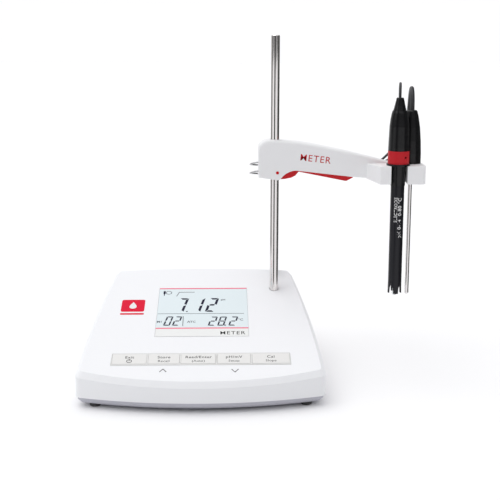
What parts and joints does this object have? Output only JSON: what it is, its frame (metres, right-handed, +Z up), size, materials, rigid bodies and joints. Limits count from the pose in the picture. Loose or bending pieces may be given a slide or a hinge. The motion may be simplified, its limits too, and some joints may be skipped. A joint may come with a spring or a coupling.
{
  "type": "bench ph meter",
  "caption": "Bench pH meter with a sloping display housing, keypad, steel rod, squeeze-lever electrode arm, pH electrode, temperature probe and their cables.",
  "frame": {"origin": "on the table, under the middle of the whole instrument's outline without its cables", "axes": "+Z up from the table, -Y towards the person reading the display, +X towards the electrode side"},
  "size_m": [0.3233, 0.2452, 0.3208],
  "materials": {
    "housing_white": "fine satin texture",
    "arm_white": "smooth satin",
    "key_grey": "matte membrane-like top",
    "red_plastic": "smooth moulded",
    "red_metal": "painted heads",
    "rod_steel": "polished stainless rod",
    "black_plastic": "satin black",
    "cable_black": "soft matt sheath",
    "bulb_glass": "clear thin glass",
    "window_clear": "clear window",
    "lcd_glass": "pale display cell",
    "light_guide": "translucent white",
    "board_green": "solder mask",
    "chip_black": "moulded",
    "tin_steel": "plain",
    "nickel": "nickel plate",
    "brass_plain": "plain",
    "foot_rubber": "soft matt",
    "bush_plastic": "self-lubricating"
  },
  "bodies": {
    "meter": {"top_cover": "housing_white", "bottom_cover": "housing_white", "cover_screws": "tin_steel", "small_screws": "tin_steel", "rubber_feet": "foot_rubber", "display_window": "window_clear", "lcd_panel": "lcd_glass", "lcd_light": "light_guide", "lcd_bracket": "black_plastic", "key_frame": "key_grey", "key_switches": "chip_black", "key_board": "board_green", "main_board": "board_green", "board_chips": "chip_black", "input_shield": "tin_steel", "rear_panel": "black_plastic", "ph_socket": "nickel", "temp_socket": "nickel", "reference_socket": "brass_plain", "serial_port": "tin_steel", "power_inlet": "black_plastic", "rod_socket": "tin_steel", "ph_plug": "black_plastic", "temp_plug": "black_plastic", "ph_cable_tail": "cable_black", "ph_cable_coil": "cable_black", "ph_cable_lead": "cable_black", "temp_cable_tail": "cable_black", "temp_cable_coil": "cable_black", "temp_cable_lead": "cable_black", "coil_ties": "cable_black"},
    "exit_key": {"key_exit": "key_grey"},
    "store_key": {"key_store": "key_grey"},
    "read_key": {"key_read": "key_grey"},
    "setup_key": {"key_setup": "key_grey"},
    "cal_key": {"key_cal": "key_grey"},
    "mast": {"support_rod": "rod_steel", "ph_cable_riser": "cable_black", "temp_cable_riser": "cable_black"},
    "arm": {"arm_shell": "arm_white", "rod_bush": "bush_plastic", "pivot_pins": "red_metal", "cable_guides": "tin_steel", "cable_clip": "black_plastic", "lever_spring": "tin_steel", "electrode_barrel": "black_plastic", "electrode_cap": "black_plastic", "electrode_collar": "black_plastic", "electrode_guard": "black_plastic", "electrode_strain_relief": "black_plastic", "glass_bulb": "bulb_glass", "reference_junction": "bush_plastic", "probe_cap": "black_plastic", "probe_tube": "tin_steel", "temperature_sensor": "tin_steel", "ph_cable_upper": "cable_black", "temp_cable_upper": "cable_black"},
    "lever": {"release_lever": "red_plastic", "brake_pad": "foot_rubber"},
    "sleeve": {"refill_sleeve": "red_plastic"}
  },
  "joints": [
    {"name": "exit_key_press", "type": "slide", "parent": "meter", "child": "exit_key", "axis": [0, 0.2868, -0.958], "range_m": [0, 0.0005], "stiffness_N_per_m": 2000, "springref_m": -0.0005},
    {"name": "store_key_press", "type": "slide", "parent": "meter", "child": "store_key", "axis": [0, 0.2868, -0.958], "range_m": [0, 0.0005], "stiffness_N_per_m": 2000, "springref_m": -0.0005},
    {"name": "read_key_press", "type": "slide", "parent": "meter", "child": "read_key", "axis": [0, 0.2868, -0.958], "range_m": [0, 0.0005], "stiffness_N_per_m": 2000, "springref_m": -0.0005},
    {"name": "setup_key_press", "type": "slide", "parent": "meter", "child": "setup_key", "axis": [0, 0.2868, -0.958], "range_m": [0, 0.0005], "stiffness_N_per_m": 2000, "springref_m": -0.0005},
    {"name": "cal_key_press", "type": "slide", "parent": "meter", "child": "cal_key", "axis": [0, 0.2868, -0.958], "range_m": [0, 0.0005], "stiffness_N_per_m": 2000, "springref_m": -0.0005},
    {"name": "mast_swing", "type": "hinge", "parent": "meter", "child": "mast", "pos_m": [0.019, 0.05175, 0.07], "axis": [0, 0, 1], "range_deg": [-45, 45]},
    {"name": "arm_height", "type": "slide", "parent": "mast", "child": "arm", "axis": [0, 0, 1], "range_m": [-0.05, 0.09], "deforming": ["ph_cable_riser", "temp_cable_riser"]},
    {"name": "lever_squeeze", "type": "hinge", "parent": "arm", "child": "lever", "pos_m": [0.0212, 0.05175, 0.1888], "axis": [0, -1, 0], "range_deg": [0, 6], "stiffness_Nm_per_rad": 1, "springref_deg": -5.73, "deforming": ["lever_spring"]},
    {"name": "sleeve_turn", "type": "hinge", "parent": "arm", "child": "sleeve", "pos_m": [0.136, 0.02875, 0.206], "axis": [0, 0, 1], "range_deg": [0, 90]}
  ]
}
